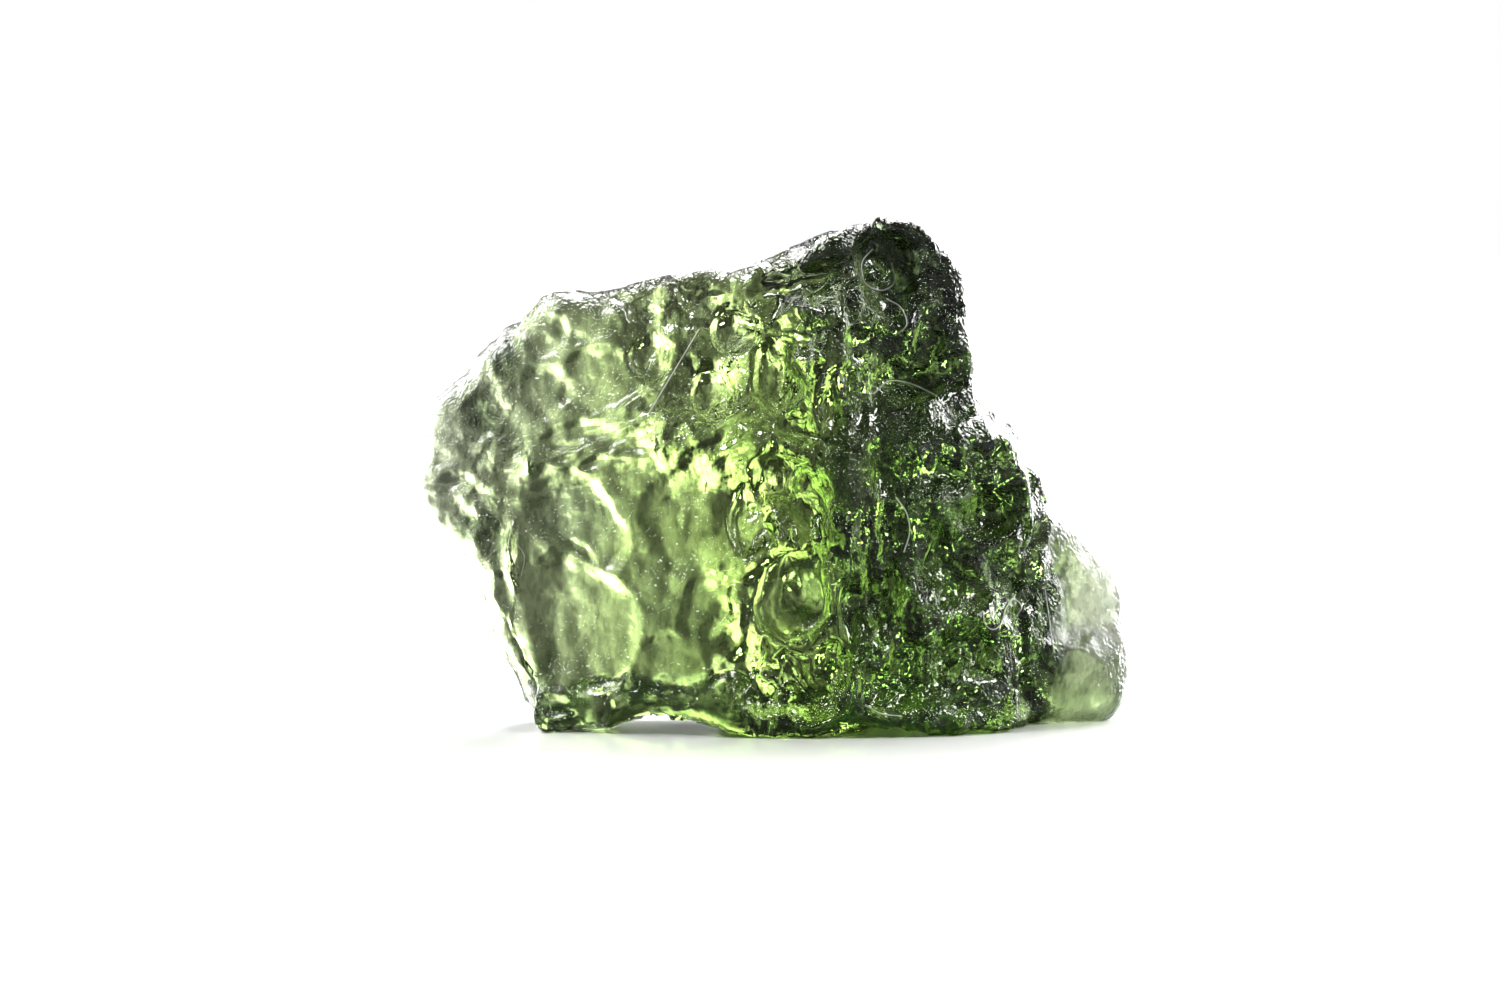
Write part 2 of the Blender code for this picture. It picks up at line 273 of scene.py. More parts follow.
# x, z, half width, half height, turn in degrees, depth, and how steep the left and the right wall are
FRONT_BOWLS = [
    (-7.1, 4.0, 2.10, 2.89, 12, 0.30, 3, 9),
    (-7.2, 7.9, 2.39, 1.34, -38, 0.28, 3, 8),
    (-2.9, 7.9, 1.88, 1.95, 0, 0.15, 10, 6),
    (-3.2, 8.7, 0.87, 0.43, 25, 0.08, 6, 6),
    (-4.5, 5.7, 1.08, 1.23, 0, 0.06, 6, 6),
    (-2.4, 4.8, 0.94, 1.45, -18, 0.13, 8, 5),
    (0.8, 5.1, 1.37, 1.88, -8, 0.75, 7, 3),
    (-1.4, 14.6, 0.98, 0.76, 10, 0.60, 3, 3),
    (-2.2, 12.3, 0.94, 0.94, 0, 0.60, 5, 3),
    (0.1, 13.0, 0.94, 1.52, 8, 0.60, 4, 3),
    (0.8, 11.2, 0.87, 0.61, -15, 0.45, 2, 2),
    (0.1, 9.6, 1.01, 1.23, 0, 0.65, 4, 3),
    (-1.3, 6.0, 0.80, 1.08, 0, 0.12, 3, 4),
    (-1.4, 3.4, 1.30, 1.66, 10, 0.20, 3, 4),
    (-3.8, 2.4, 1.37, 1.45, 0, 0.10, 8, 8),
    (-0.3, 1.4, 0.87, 0.65, 0, 0.45, 3, 2),
    (0.6, 2.4, 0.87, 0.94, 0, 0.55, 3, 2),
    (1.5, 1.3, 0.87, 0.80, 0, 0.55, 3, 2),
    (2.3, 2.7, 0.65, 0.94, 0, 0.55, 3, 2),
    (2.8, 4.5, 0.43, 1.59, 3, 0.50, 3, 2),
    (-0.8, 7.9, 0.87, 1.37, 0, 0.60, 4, 3),
    (1.5, 7.9, 0.72, 1.81, 0, 0.55, 3, 2),
    (1.0, 14.6, 1.01, 0.87, -10, 0.55, 3, 2),
    (2.3, 12.4, 0.65, 1.30, 0, 0.45, 3, 2),
    (-6.3, 12.8, 1.52, 1.30, 12, 0.13, 8, 5),
    (-8.3, 12.4, 1.01, 1.01, 0, 0.12, 4, 5),
    (-6.8, 15.0, 1.37, 0.94, 12, 0.12, 4, 5),
    (-4.8, 15.7, 1.01, 0.80, 0, 0.35, 3, 3),
    (-4.4, 13.6, 0.80, 1.01, 0, 0.45, 4, 3),
    (-2.7, 15.8, 0.94, 0.72, 0, 0.50, 3, 2),
    (-8.4, 14.5, 0.87, 1.01, 0, 0.14, 3, 4),
    (-4.8, 10.8, 1.66, 0.51, 14, 0.16, 3, 3),
    (-7.2, 10.8, 1.45, 0.58, 12, 0.16, 3, 3),
    (4.1, 16.7, 1.23, 1.66, 0, 0.60, 3, 3),
    (5.6, 14.6, 0.72, 0.94, 0, 0.45, 2, 2),
    (4.8, 12.8, 1.19, 0.90, -12, 0.62, 3, 3),
    (6.6, 13.1, 0.72, 0.94, 0, 0.40, 2, 2),
    (3.2, 14.2, 0.87, 0.72, 0, 0.40, 2, 2),
    (6.7, 11.9, 1.01, 0.58, -10, 0.36, 2, 2),
    (3.9, 9.9, 0.80, 1.01, 0, 0.42, 2, 2),
    (6.1, 9.5, 0.72, 0.65, 0, 0.40, 2, 2),
    (7.9, 10.0, 0.94, 0.80, -10, 0.42, 2, 2),
    (4.3, 6.6, 0.72, 2.17, 2, 0.45, 3, 3),
    (5.9, 6.6, 0.65, 1.59, 0, 0.34, 2, 2),
    (7.6, 7.9, 1.23, 0.87, -10, 0.40, 2, 2),
    (6.8, 5.1, 1.08, 0.80, 8, 0.45, 3, 3),
    (8.4, 5.6, 0.80, 1.01, -15, 0.42, 2, 2),
    (9.5, 7.0, 0.65, 1.08, -10, 0.36, 2, 2),
    (4.8, 3.0, 0.72, 1.23, 0, 0.42, 2, 2),
    (6.2, 2.5, 0.58, 1.23, 0, 0.36, 2, 2),
    (7.5, 3.0, 0.72, 1.08, 0, 0.40, 2, 2),
    (8.8, 3.0, 0.65, 1.59, 4, 0.45, 2, 2),
    (3.5, 1.7, 0.65, 1.01, 0, 0.40, 2, 2),
    (6.9, 1.2, 0.87, 0.65, 0, 0.36, 2, 2),
    (-8.0, 0.9, 0.87, 0.47, 0, 0.18, 3, 3),
    (3.4, 6.4, 0.36, 2.17, 2, 0.30, 2, 2),
    (5.5, 11.5, 1.45, 0.43, 6, 0.30, 2, 2),
    (11.3, 4.1, 0.80, 1.23, 0, 0.20, 3, 3),
    (11.4, 1.7, 0.94, 1.08, 0, 0.20, 3, 3),
    (2.6, 16.2, 0.51, 1.23, 0, 0.36, 2, 2),
    (1.7, 16.4, 0.65, 0.87, 0, 0.36, 2, 2),
    (-0.3, 16.2, 0.80, 0.58, 15, 0.36, 2, 2),
]


def bowls(places, rows):
    """Heights of all the bowls, and where the floors of the flat ones lie.

    Each bowl is an oval dip with a wavy rim, and where two meet they leave a sharp ridge.
    """
    warped = places + WARP * np.outer(clouds(places, 0.7, seed=6.1), (1, 0, 0))
    warped += WARP * np.outer(clouds(places, 0.7, seed=1.7), (0, 0, 1))
    heights = np.zeros(len(places))
    floors = np.zeros(len(places))
    for cx, cz, half_width, half_height, turn, depth, left_wall, right_wall in rows:
        angle = math.radians(turn)
        right, up = warped[:, 0] - cx, warped[:, 2] - cz
        u = (right * math.cos(angle) + up * math.sin(angle)) / half_width
        v = (up * math.cos(angle) - right * math.sin(angle)) / half_height
        around = np.arctan2(v, u)
        away = np.hypot(u, v) * (1 + 0.07 * np.sin(3 * around + cx) + 0.05 * np.sin(5 * around + cz))
        steepness = left_wall + (right_wall - left_wall) * smooth_step(-0.4, 0.4, u)
        heights -= depth * np.clip(1 - away**steepness, 0, 1)
        if max(left_wall, right_wall) >= FLAT_FLOOR:
            floors = np.maximum(floors, smooth_step(0.9, 0.7, away))
    return heights, floors


def flutes(places):
    """Upright flutes: narrow ridges with round valleys between them."""
    sway = 0.35 * clouds(places, 2.4, (1, 1, 1.6), 3.1)
    swayed = places + np.outer(sway, (1, 0, 0))
    return 1 - 2 * np.abs(clouds(swayed, 1.0, (0.8, 1, 3.0), 7.7))


def slanted_streaks(places):
    """Fine streaks that rise to the right across the ledge on the left."""
    slant = math.radians(17)
    along = places[:, 0] * math.cos(slant) + places[:, 2] * math.sin(slant)
    across = places[:, 2] * math.cos(slant) - places[:, 0] * math.sin(slant)
    turned = np.stack([along, places[:, 1], across], 1)
    return 1 - 2 * np.abs(clouds(turned, 0.55, (3.2, 1, 0.8), 1.3))


ledge_z = LEDGE_LEVEL + LEDGE_RISE * x
ON_LEDGE = FRONT * np.exp(-(((z - ledge_z + 0.6) / 1.1) ** 2)) * smooth_step(0.5, -1.5, x)

dips, floors = bowls(places, FRONT_BOWLS)
heights = FRONT * dips
heights += FLUTE_HEIGHT * FLUTED * flutes(places)
heights += STREAK_HEIGHT * ON_LEDGE * slanted_streaks(places)
heights += CALM_HEIGHT * CALM * clouds(places, 0.7, (1, 1, 1.5), 2.2)
set_places(stone, places + normals * heights[:, None])
print("front carved from", round(heights.min(), 2), "to", round(heights.max(), 2), "mm")

# %% [markdown]
# ## What the finish needs to know
# Each mask becomes one number for every point, stored on the stone itself, so it travels with the mesh. The
# floors of the flat bowls count as calm too. The milky tone isn't even: three patches hold more of it. The
# left side is rougher than the windows beside it, and the lobe at its far end is smoother again.

# %% Store the masks
MILKY_PATCHES = [  # x, z, half width, half height, amount
    (-3.7, 4.8, 1.9, 2.3, 0.6),
    (-7.3, 7.9, 1.9, 1.2, 0.6),
    (-3.6, 1.6, 2.2, 1.0, 0.65),
]


def store(piece, name, values):
    """Keeps one number for each point on the piece, for its geometry nodes and its material."""
    layer = piece.data.attributes.new(name, "FLOAT", "POINT")
    layer.data.foreach_set("value", values.astype(np.float32))


CALM = np.maximum(CALM, 0.8 * FRONT * floors)
inside = smooth_step(-10.2, -9.2, x)
left_lobe = smooth_step(-10.8, -11.8, x)
ETCHED = (1 - 0.75 * CALM * inside) * (1 - 0.75 * CALM_BACK) * (1 - 0.6 * THIN_ENDS) * (1 - 0.45 * MIDDLE)
ETCHED *= 1 - 0.55 * left_lobe
MILK = 0.2 * CALM * inside * smooth_step(1.0, -2.5, x)
for *oval, amount in MILKY_PATCHES:
    MILK += amount * CALM * smooth_step(1.2, 0.6, from_middle(oval, x, z))
store(stone, "etched", ETCHED)
store(stone, "frosted", np.maximum(0.38 * CALM, THIN_ENDS))
store(stone, "milk", np.minimum(MILK, 1))
# the painted shade mask, read by the glass tint
store(stone, "painted_shade", PAINTED_SHADE)
print("etched and dark on average:", round(float(ETCHED.mean()), 2), round(float(PAINTED_SHADE.mean()), 2))

# %% [markdown]
# ## Etching all over
# Two sizes of pits cover the whole stone by one rule, so a geometry nodes tree makes them. Cells with a
# round bottom look like etching pits. The tree reads the etched mask and moves each point along its normal.
# The result is a plain mesh with its material set. The tree's inputs are the pits' sizes and depths.

# %% Build the etching tree
PIT_CURVE, PIT_FLOOR = 2.2, 0.5  # how fast a pit rises from its middle, and how deep its middle lies
ETCHING_SEED = 4.0


def link(tree, start, end):
    tree.links.new(start, end)


def math_node(tree, operation, first, second):
    """A Math node on two sockets or numbers. Returns its output."""
    node = tree.nodes.new("ShaderNodeMath")
    node.operation = operation
    for socket, value in zip(node.inputs, (first, second)):
        if isinstance(value, bpy.types.NodeSocket):
            link(tree, value, socket)
        else:
            socket.default_value = value
    return node.outputs[0]


def slope_node(tree, name, value, low, high):
    """A soft step from 0 to 1 as the value goes from low to high."""
    node = tree.nodes.new("ShaderNodeMapRange")
    node.name = name
    node.interpolation_type = "SMOOTHSTEP"
    node.inputs["From Min"].default_value = low
    node.inputs["From Max"].default_value = high
    link(tree, value, node.inputs["Value"])
    return node.outputs["Result"]


def new_tree(name, inputs):
    """An empty geometry nodes tree with a geometry input and output and the named inputs."""
    tree = bpy.data.node_groups.new(name, "GeometryNodeTree")
    tree.interface.new_socket("Geometry", in_out="OUTPUT", socket_type="NodeSocketGeometry")
    tree.interface.new_socket("Geometry", in_out="INPUT", socket_type="NodeSocketGeometry")
    for label, kind, value in inputs:
        socket = tree.interface.new_socket(label, in_out="INPUT", socket_type=kind)
        if value is not None:
            socket.default_value = value
    return tree, tree.nodes.new("NodeGroupInput"), tree.nodes.new("NodeGroupOutput")


def attribute_node(tree, name):
    """One of the masks that are stored on the stone, for its material. Returns its output."""
    node = tree.nodes.new("ShaderNodeAttribute")
    node.attribute_name = name
    return node.outputs["Fac"]


def end_tree(tree, geometry, material, leave):
    """Every tree ends alike: real geometry with its material set."""
    real = tree.nodes.new("GeometryNodeRealizeInstances")
    link(tree, geometry, real.inputs[0])
    finish = tree.nodes.new("GeometryNodeSetMaterial")
    link(tree, real.outputs[0], finish.inputs["Geometry"])
    link(tree, material, finish.inputs["Material"])
    link(tree, finish.outputs[0], leave.inputs["Geometry"])


def etching_tree():
    tree, entry, leave = new_tree(
        "etching",
        [
            ("Pit Size", "NodeSocketFloat", 1.0 * MM),
            ("Pit Depth", "NodeSocketFloat", 0.14 * MM),
            ("Small Pit Size", "NodeSocketFloat", 0.65 * MM),
            ("Small Pit Depth", "NodeSocketFloat", 0.07 * MM),
            ("Seed", "NodeSocketFloat", ETCHING_SEED),
            ("Glass", "NodeSocketMaterial", None),
        ],
    )
    etched = tree.nodes.new("GeometryNodeInputNamedAttribute")
    etched.data_type = "FLOAT"
    etched.inputs["Name"].default_value = "etched"
    total = None
    for size, depth in (("Pit Size", "Pit Depth"), ("Small Pit Size", "Small Pit Depth")):
        cells = tree.nodes.new("ShaderNodeTexVoronoi")
        cells.voronoi_dimensions = "4D"
        link(tree, math_node(tree, "DIVIDE", 1.0, entry.outputs[size]), cells.inputs["Scale"])
        link(tree, entry.outputs["Seed"], cells.inputs["W"])
        squared = math_node(tree, "POWER", cells.outputs["Distance"], 2.0)
        bowl = math_node(tree, "SUBTRACT", math_node(tree, "MULTIPLY", squared, PIT_CURVE), PIT_FLOOR)
        height = math_node(tree, "MULTIPLY", bowl, entry.outputs[depth])
        total = height if total is None else math_node(tree, "ADD", total, height)
    move = tree.nodes.new("ShaderNodeVectorMath")
    move.operation = "SCALE"
    normal = tree.nodes.new("GeometryNodeInputNormal")
    link(tree, normal.outputs[0], move.inputs[0])
    link(tree, math_node(tree, "MULTIPLY", total, etched.outputs["Attribute"]), move.inputs["Scale"])
    place = tree.nodes.new("GeometryNodeSetPosition")
    link(tree, entry.outputs["Geometry"], place.inputs["Geometry"])
    link(tree, move.outputs[0], place.inputs["Offset"])
    shade = tree.nodes.new("GeometryNodeSetShadeSmooth")
    link(tree, place.outputs[0], shade.inputs["Geometry"])
    end_tree(tree, shade.outputs[0], entry.outputs["Glass"], leave)
    return tree


def apply_tree(piece, tree, name, settings):
    """Runs a tree on a piece with the given inputs and returns the plain mesh object that it leaves."""
    modifier = piece.modifiers.new(tree.name, "NODES")
    modifier.node_group = tree
    for item in tree.interface.items_tree:
        if item.in_out == "INPUT" and item.name in settings:
            modifier[item.identifier] = settings[item.name]
    return plain_result(piece, name)


# %% [markdown]
# ## The glass
# Moldavite is see-through, so its green isn't painted on: light loses red and blue on its way through,
# and thick places come out a deep yellow green. A Volume Absorption shader does that. A tint on the surface
# adds the milky windows and painted shade: the right side, the foot and patches on the left side are
# darkened where the glass lies in shade, and fine dark specks stand for the shade of tiny facets. Two bumps
# give the etched look: a small one bends the light that comes through, and a stronger, finer one sits only
# on the clear coat, where it breaks the lamps into glints. Frosted places blur what lies behind them.

# %% Mix the glass
LOST = (165.0, 115.0, 300.0)  # how strongly red, green and blue fade, for each metre of glass
DENSITY = 320.0  # more than the strongest of them
CLEAR = (0.96, 0.99, 0.94, 1)
MILKY = (0.45, 0.48, 0.58, 1)
# painted shade: the dark tone that the shade mask mixes in
PAINTED_SHADE_TONE = (0.17, 0.22, 0.14, 1)
GLASS_IOR = 1.49
POLISHED, FROSTED = 0.07, 0.43  # roughness
DARKEST_SPECK_SHADE = 0.25  # share of the light that the darkest painted speck shade lets through
CALM_SPECK_SHADE = 0.3  # share of the painted speck shade that calm glass has too
RIPPLE_HEIGHT = 0.12 * MM
GRAIN_HEIGHT = 0.05 * MM
GLINT_HEIGHT = 0.07 * MM


def noise_node(tree, name, where, size, detail):
    """Soft noise with lumps of that size. Returns its output."""
    node = tree.nodes.new("ShaderNodeTexNoise")
    node.name = name
    node.inputs["Scale"].default_value = 1 / size
    node.inputs["Detail"].default_value = detail
    link(tree, where, node.inputs["Vector"])
    return node.outputs["Fac"]


def between(tree, share, low, high):
    """The number that lies between low and high by that share. Returns its output."""
    return math_node(tree, "ADD", math_node(tree, "MULTIPLY", share, high - low), low)


def mix_node(tree, name, share, first, second, blend="MIX"):
    """A colour mixed from two colours or sockets. Returns its output."""
    node = tree.nodes.new("ShaderNodeMix")
    node.name = name
    node.data_type = "RGBA"
    node.blend_type = blend
    link(tree, share, node.inputs[0])
    for socket, value in (("A", first), ("B", second)):
        if isinstance(value, bpy.types.NodeSocket):
            link(tree, value, node.inputs[socket])
        else:
            node.inputs[socket].default_value = value
    return node.outputs[2]


def tint(tree, etched, specks):
    """Clear glass, milky where the masks say so, darkened by painted shade where they say the glass lies in
    shade, with painted shade in fine dark specks, most of them on etched places.
    """
    tone = mix_node(tree, "milk", attribute_node(tree, "milk"), CLEAR, MILKY)
    # painted shade: the tone darkens where the shade mask says so
    tone = mix_node(tree, "painted_shade", attribute_node(tree, "painted_shade"), tone, PAINTED_SHADE_TONE)
    # painted shade: dark specks stand for the shade of tiny etched facets
    crisp = slope_node(tree, "crisp", specks, 0.40, 0.55)
    speck_shade = between(tree, crisp, DARKEST_SPECK_SHADE, 1.0)
    share = between(tree, etched, CALM_SPECK_SHADE, 1.0)
    return mix_node(tree, "painted_speck_shade", share, tone, speck_shade, "MULTIPLY")


def bump_node(tree, name, height, distance):
    """Turns heights into a tilt of the surface. Returns its output."""
    bump = tree.nodes.new("ShaderNodeBump")
    bump.name = name
    bump.inputs["Strength"].default_value = 1.0
    bump.inputs["Distance"].default_value = distance
    link(tree, height, bump.inputs["Height"])
    return bump.outputs["Normal"]


def fading(tree):
    """Light fades on its way through the glass, each colour by its own strength."""
    node = tree.nodes.new("ShaderNodeVolumeAbsorption")
    kept = [1 - lost / DENSITY for lost in LOST]
    node.inputs["Color"].default_value = (*kept, 1)
    node.inputs["Density"].default_value = DENSITY
    return node.outputs["Volume"]


def glass_material():
    """Green glass whose tint, roughness and bumps follow the masks on the stone."""
    material = bpy.data.materials.new("etched_green_glass")
    material.use_nodes = True
    tree = material.node_tree
    shader = tree.nodes["Principled BSDF"]
    shader.inputs["IOR"].default_value = GLASS_IOR
    shader.inputs["Transmission Weight"].default_value = 1.0
    shader.inputs["Coat Weight"].default_value = 1.0
    shader.inputs["Coat Roughness"].default_value = 0.04
    shader.inputs["Coat IOR"].default_value = 1.5

    where = tree.nodes.new("ShaderNodeTexCoord").outputs["Object"]
    flow = tree.nodes.new("ShaderNodeMapping")
    flow.inputs["Scale"].default_value = (1, 1, 0.45)  # drawn out upwards, along the flow of the glass
    link(tree, where, flow.inputs["Vector"])
    along = flow.outputs["Vector"]
    ripples = noise_node(tree, "ripples", along, 0.5 * MM, 0.0)
    specks = noise_node(tree, "specks", along, 0.18 * MM, 1.5)
    grains = noise_node(tree, "grains", where, 0.2 * MM, 0.5)
    glints = noise_node(tree, "glints", where, 0.11 * MM, 0.0)
    etched = attribute_node(tree, "etched")
    link(tree, tint(tree, etched, specks), shader.inputs["Base Color"])

    ripple_height = math_node(tree, "MULTIPLY", ripples, RIPPLE_HEIGHT)
    # the shader's socket, its fine noise and how high that is, its share on calm glass, and its strength
    for socket, fine, size, calm_share, distance in (
        ("Normal", grains, GRAIN_HEIGHT, 0.12, 0.6),
        ("Coat Normal", glints, GLINT_HEIGHT, 0.6, 1.3),
    ):
        height = math_node(tree, "ADD", math_node(tree, "MULTIPLY", fine, size), ripple_height)
        height = math_node(tree, "MULTIPLY", height, math_node(tree, "ADD", etched, calm_share))
        link(tree, bump_node(tree, socket, height, distance), shader.inputs[socket])

    roughness = between(tree, attribute_node(tree, "frosted"), POLISHED, FROSTED)
    link(tree, roughness, shader.inputs["Roughness"])
    link(tree, fading(tree), tree.nodes["Material Output"].inputs["Volume"])
    return material


glass = glass_material()
stone = apply_tree(stone, etching_tree(), "moldavite_stone", {"Glass": glass, "Seed": ETCHING_SEED})
print("etched stone:", len(stone.data.polygons), "faces")

# %% [markdown]
# ## The flat spot
# The stone stands on the floor, so no etching may reach below the level that the solid rests on, and the
# spot itself stays flat. Everything that the carving pushed below it is put back on it.

# %% Flatten the spot
places = places_of(stone)
places[:, 2] = np.maximum(places[:, 2], 0.0)
set_places(stone, places)
print("points on the flat spot:", int((places[:, 2] < 0.001).sum()))

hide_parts("moldavite")
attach(stone, "root")

# %% [markdown]
# ## Lint on the glass
# Etched glass is rough enough to catch lint, and ten textile fibres lie on the front. Each is a curve
# drawn by a few points, dropped onto the surface. A second geometry nodes tree turns all the curves into
# round threads of one thickness.

# %% Lay the fibres
# x and z of the points that each fibre goes through
FIBRES = [
    [(7.6, 4.5), (7.7, 4.0), (8.0, 3.8), (8.3, 4.0), (8.5, 4.5), (8.8, 4.8), (9.1, 4.5), (8.8, 4.1)],
    [(10.0, 5.1), (10.1, 4.3), (10.2, 3.5), (10.3, 2.8)],
    [(3.6, 17.6), (3.2, 17.1), (3.3, 16.4), (3.9, 16.1), (4.4, 16.4), (4.3, 17.1)],
    [(4.1, 15.8), (4.6, 15.5), (4.8, 14.9), (4.4, 14.5)],
    [(4.4, 8.7), (4.8, 8.1), (4.9, 7.4), (4.7, 6.7)],
    [(3.6, 12.4), (4.2, 12.8), (5.0, 12.7), (5.9, 12.3)],
    [(-1.6, 13.8), (-1.3, 13.4), (-0.8, 13.2)],
    [(3.3, 1.2), (3.9, 0.9), (4.6, 0.8)],
    [(-4.5, 11.7), (-3.6, 13.2), (-2.7, 14.7)],
    [(-9.4, 6.9), (-9.1, 6.4), (-9.2, 5.7)],
]
LIFT = 0.03  # millimetres from the glass to the middle of a fibre
FIBRE_RADIUS = 0.018  # millimetres
IN_FRONT = -9  # y of a place in front of the whole stone, in millimetres


def smooth_line(points, parts=8):
    """More points on the smooth curve through the given ones."""
    ends = [2 * points[0] - points[1], *points, 2 * points[-1] - points[-2]]
    line = []
    for a, b, c, d in zip(ends, ends[1:], ends[2:], ends[3:]):
        for t in np.arange(parts) / parts:
            straight = 2 * b + (c - a) * t
            bend = (2 * a - 5 * b + 4 * c - d) * t**2
            twist = (3 * b - a - 3 * c + d) * t**3
            line.append(0.5 * (straight + bend + twist))
    return line + [points[-1]]


def drop_on(piece, line):
    """Places just in front of the piece's surface, at the given x and z, without its smallest bumps."""
    depths = []
    for px, pz in line:
        _, place, _, _ = piece.ray_cast(Vector((px, IN_FRONT, pz)) * MM, Vector((0, 1, 0)))
        depths.append(place.y / MM)
    padded = np.pad(depths, 2, "edge")
    even = np.convolve(padded, np.ones(5) / 5, "valid")  # the mean of five places in a row
    return [(px, min(soft, hard) - LIFT, pz) for (px, pz), soft, hard in zip(line, even, depths)]


def thread_tree():
    tree, entry, leave = new_tree(
        "threads",
        [
            ("Radius", "NodeSocketFloat", FIBRE_RADIUS * MM),
            ("Sides", "NodeSocketInt", 6),
            ("Lint", "NodeSocketMaterial", None),
        ],
    )
    curve = tree.nodes.new("GeometryNodeMeshToCurve")
    link(tree, entry.outputs["Geometry"], curve.inputs[0])
    circle = tree.nodes.new("GeometryNodeCurvePrimitiveCircle")
    link(tree, entry.outputs["Sides"], circle.inputs["Resolution"])
    link(tree, entry.outputs["Radius"], circle.inputs["Radius"])
    thread = tree.nodes.new("GeometryNodeCurveToMesh")
    thread.inputs["Fill Caps"].default_value = True
    link(tree, curve.outputs[0], thread.inputs["Curve"])
    link(tree, circle.outputs[0], thread.inputs["Profile Curve"])
    end_tree(tree, thread.outputs[0], entry.outputs["Lint"], leave)
    return tree


def lint_material():
    material = bpy.data.materials.new("pale_lint")
    material.use_nodes = True
    shader = material.node_tree.nodes["Principled BSDF"]
    shader.inputs["Base Color"].default_value = (0.93, 0.92, 0.86, 1)
    shader.inputs["Roughness"].default_value = 0.5
    return material


def lay_fibres(piece):
    points, edges = [], []
    for fibre in FIBRES:
        start = len(points)
        points += drop_on(piece, smooth_line([np.array(p) for p in fibre]))
        edges += [(i, i + 1) for i in range(start, len(points) - 1)]
    mesh = bpy.data.meshes.new("fibre_lines")
    mesh.from_pydata([Vector(p) * MM for p in points], edges, [])
    lines = bpy.data.objects.new("fibre_lines", mesh)
    bpy.context.scene.collection.objects.link(lines)
    return apply_tree(lines, thread_tree(), "lint_fibres", {"Lint": lint_material()})


bpy.context.view_layer.update()
lint = lay_fibres(stone)
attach(lint, "root")
print(len(FIBRES), "fibres,", len(lint.data.polygons), "faces")

# %% [markdown]
# ## The floor
# The stone stands on a white table. The camera sees it nearly white, but the light that it throws back at
# the stone is held low, as dark cards beside a small object do in a studio. A bright floor would lie as a
# grey veil on the dark glass.

# %% Lay the floor
FLOOR_SIZE = 3.0
FLOOR_GAP = 0.01 * MM  # keeps the flat spot and the floor from lying in one plane
FLOOR_SEEN = 0.95  # how white the camera sees it
FLOOR_DIM = 0.06  # how white the stone sees it


def white_floor():
    """A white table top that looks white to the camera and dim to everything else."""
    bpy.ops.mesh.primitive_plane_add(size=FLOOR_SIZE, location=(0, 0, -FLOOR_GAP))
    floor = bpy.context.object
    floor.name = "floor"
    material = bpy.data.materials.new("white_table")
    material.use_nodes = True
    shader = material.node_tree.nodes["Principled BSDF"]
    tree = material.node_tree
    seen = tree.nodes.new("ShaderNodeLightPath")
    tone = between(tree, seen.outputs["Is Camera Ray"], FLOOR_DIM, FLOOR_SEEN)
    link(tree, tone, shader.inputs["Base Color"])
    shader.inputs["Roughness"].default_value = 0.3
    floor.data.materials.append(material)
    return floor


white_floor()
print("floor:", FLOOR_SIZE, "m wide,", round(FLOOR_GAP / MM, 3), "mm under the stone")

# %% [markdown]
# ## The light
# Light from behind shows the colour of glass. A bright wall stands behind and to the right only, so slopes
# that face left glow and slopes that face right stay dark, and the relief reads. A dimmer wall on the left
# lifts the darkest slopes. A wide soft sun from above and behind lays the even white floor and the soft
# shadow, two small lamps in front make the white glints, and a lamp behind lights the grain on the right.

# %% Light the room
WALL_LIGHT = 12.3
ROOM_LIGHT = 0.10
SIDE_DARK, SIDE_BRIGHT = 0.08, 0.58  # how far right a direction points where the wall starts and is full
LEFT_DARK, LEFT_BRIGHT = -0.32, -0.50  # the same for the dimmer wall on the left
LEFT_SHARE = 0.5
BACK_DARK, BACK_BRIGHT = 0.1, 0.5  # the same from front to back
RISE_DARK, RISE_BRIGHT = 0.9, 0.5  # the same for how high it points


def studio_sky():
    """The two bright walls and the dim room. The camera itself sees plain white past the stone."""
    world = bpy.data.worlds.new("studio")
    bpy.context.scene.world = world
    world.use_nodes = True
    tree = world.node_tree
    sky = tree.nodes["Background"]
    sky.inputs["Color"].default_value = (1, 1, 1, 1)
    where = tree.nodes.new("ShaderNodeTexCoord")
    axes = tree.nodes.new("ShaderNodeSeparateXYZ")
    link(tree, where.outputs["Generated"], axes.inputs[0])
    side = slope_node(tree, "side", axes.outputs["X"], SIDE_DARK, SIDE_BRIGHT)
    back = slope_node(tree, "back", axes.outputs["Y"], BACK_DARK, BACK_BRIGHT)
    rise = slope_node(tree, "rise", axes.outputs["Z"], RISE_DARK, RISE_BRIGHT)
    patch = math_node(tree, "MULTIPLY", math_node(tree, "MULTIPLY", side, back), rise)
    left = slope_node(tree, "left", axes.outputs["X"], LEFT_DARK, LEFT_BRIGHT)
    left = math_node(tree, "MULTIPLY", math_node(tree, "MULTIPLY", left, back), LEFT_SHARE)
    wall = math_node(tree, "MULTIPLY", math_node(tree, "ADD", patch, left), WALL_LIGHT)
    room = math_node(tree, "ADD", wall, ROOM_LIGHT)
    seen = tree.nodes.new("ShaderNodeLightPath")
    pick = tree.nodes.new("ShaderNodeMix")
    pick.data_type = "FLOAT"
    share, dim, plain = pick.inputs[0], pick.inputs[2], pick.inputs[3]
    link(tree, seen.outputs["Is Camera Ray"], share)
    link(tree, room, dim)
    plain.default_value = 1.0
    link(tree, pick.outputs[0], sky.inputs["Strength"])


def hang(light, place=(0, 0, 0), aim=None):
    """Puts a light in the scene, turned towards the aim."""
    lamp = bpy.data.objects.new(light.name, light)
    bpy.context.scene.collection.objects.link(lamp)
    lamp.location = place
    if aim is not None:
        lamp.rotation_euler = (Vector(place) - Vector(aim)).to_track_quat("Z", "Y").to_euler()
    return lamp


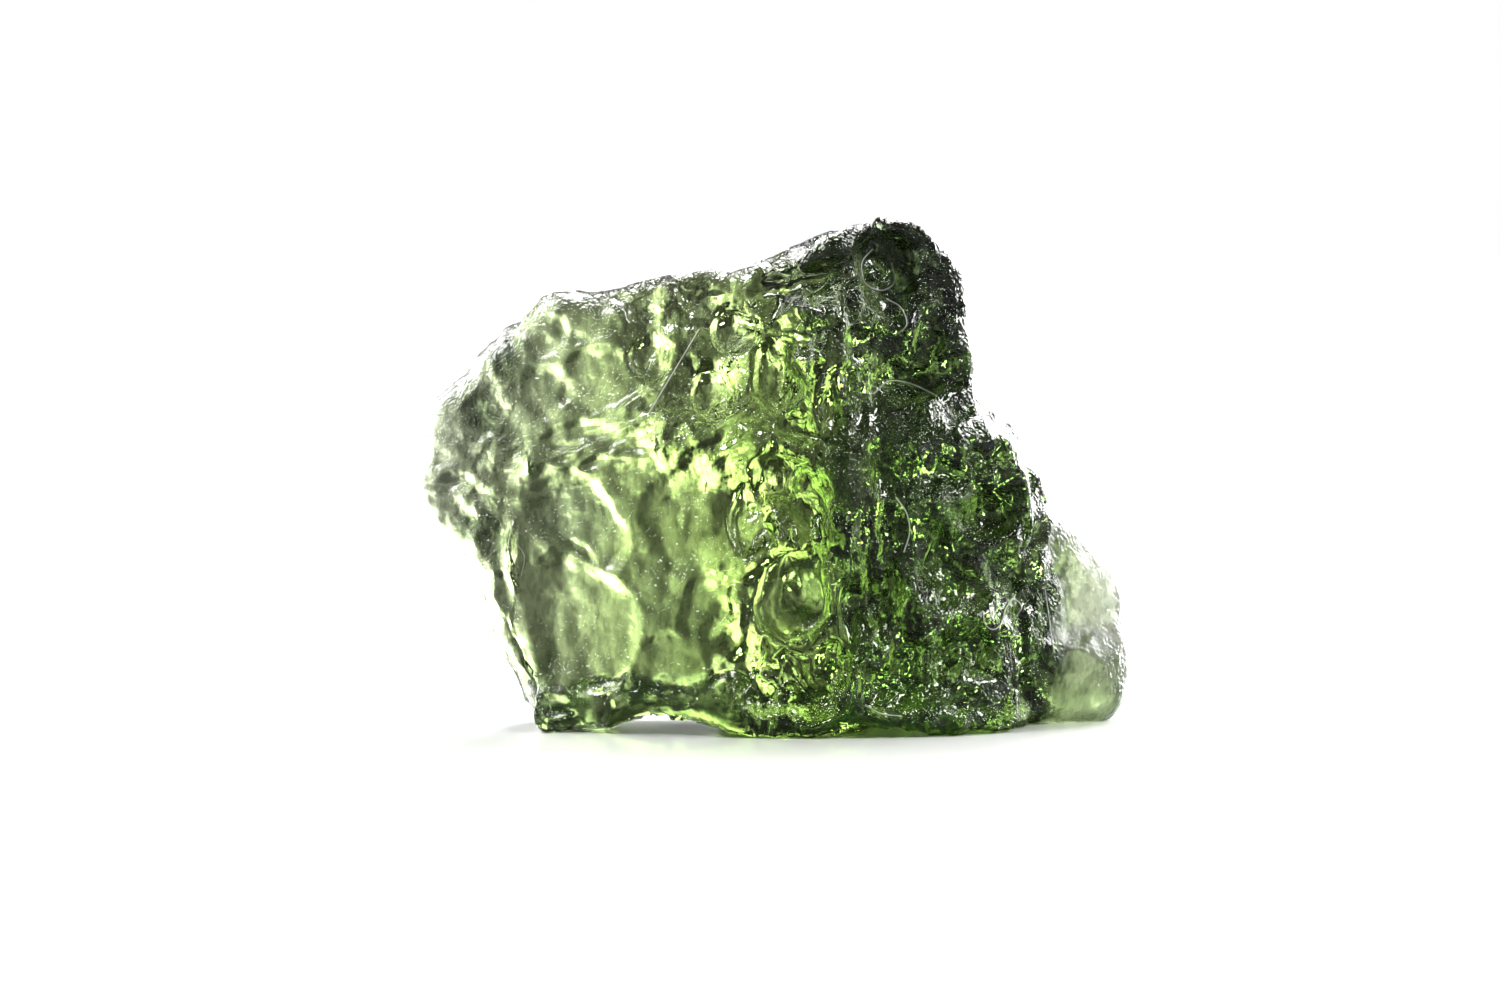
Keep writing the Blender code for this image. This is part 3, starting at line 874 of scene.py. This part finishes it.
def soft_sun(power, tilt, spread):
    """Light on the whole table alike, from above and behind, so the shadow falls towards the camera."""
    light = bpy.data.lights.new("skylight", "SUN")
    light.energy = power
    light.angle = math.radians(spread)
    hang(light).rotation_euler = (-math.radians(tilt), 0, 0)


def back_lamp(place, aim, power, cone):
    """A narrow lamp behind the stone. Fine grain on the dark right side catches it as green glints."""
    light = bpy.data.lights.new("back_lamp", "SPOT")
    light.energy = power
    light.spot_size = math.radians(cone)
    light.spot_blend = 0.6
    light.shadow_soft_size = 0.02
    hang(light, place, aim)


def soft_box(name, place, aim, size, power):
    """A small square lamp in front of the stone, for the white glints."""
    light = bpy.data.lights.new(name, "AREA")
    light.shape = "SQUARE"
    light.size = size
    light.energy = power
    hang(light, place, aim)


STONE_MIDDLE = (0, 0, 9 * MM)
RIGHT_END = (12 * MM, 0, 3.5 * MM)

studio_sky()
soft_sun(power=3.4, tilt=35, spread=25)
back_lamp((-0.01, 0.12, 0.02), RIGHT_END, power=8.0, cone=4.5)
for name, place in (("sparkle_left", (-0.22, -0.10, 0.22)), ("sparkle_right", (0.25, -0.10, 0.20))):
    soft_box(name, place, STONE_MIDDLE, size=0.08, power=0.6)

# %% [markdown]
# ## The camera
# A long lens close to the table, level with the stone and tipped down a little, as in the photograph.

# %% Set the camera
LENS = 100.0
DISTANCE = 154 * MM
ELEVATION = 4.0
AIM = Vector((-0.85 * MM, 0, 8.32 * MM))


def photo_camera():
    camera = bpy.data.objects.new("camera", bpy.data.cameras.new("camera"))
    bpy.context.scene.collection.objects.link(camera)
    camera.data.lens = LENS
    camera.data.clip_start = 5 * MM
    up = math.radians(ELEVATION)
    away = Vector((0, -math.cos(up), math.sin(up)))
    camera.location = AIM + away * DISTANCE
    camera.rotation_euler = away.to_track_quat("Z", "Y").to_euler()
    bpy.context.scene.camera = camera


GLASS_BOUNCES = 24  # light crosses many small slopes before it leaves the glass

photo_camera()
bpy.context.scene.view_settings.view_transform = "Standard"
bpy.context.scene.cycles.max_bounces = GLASS_BOUNCES
bpy.context.scene.cycles.transmission_bounces = GLASS_BOUNCES
print("camera:", LENS, "mm lens,", round(DISTANCE / MM), "mm from the stone")
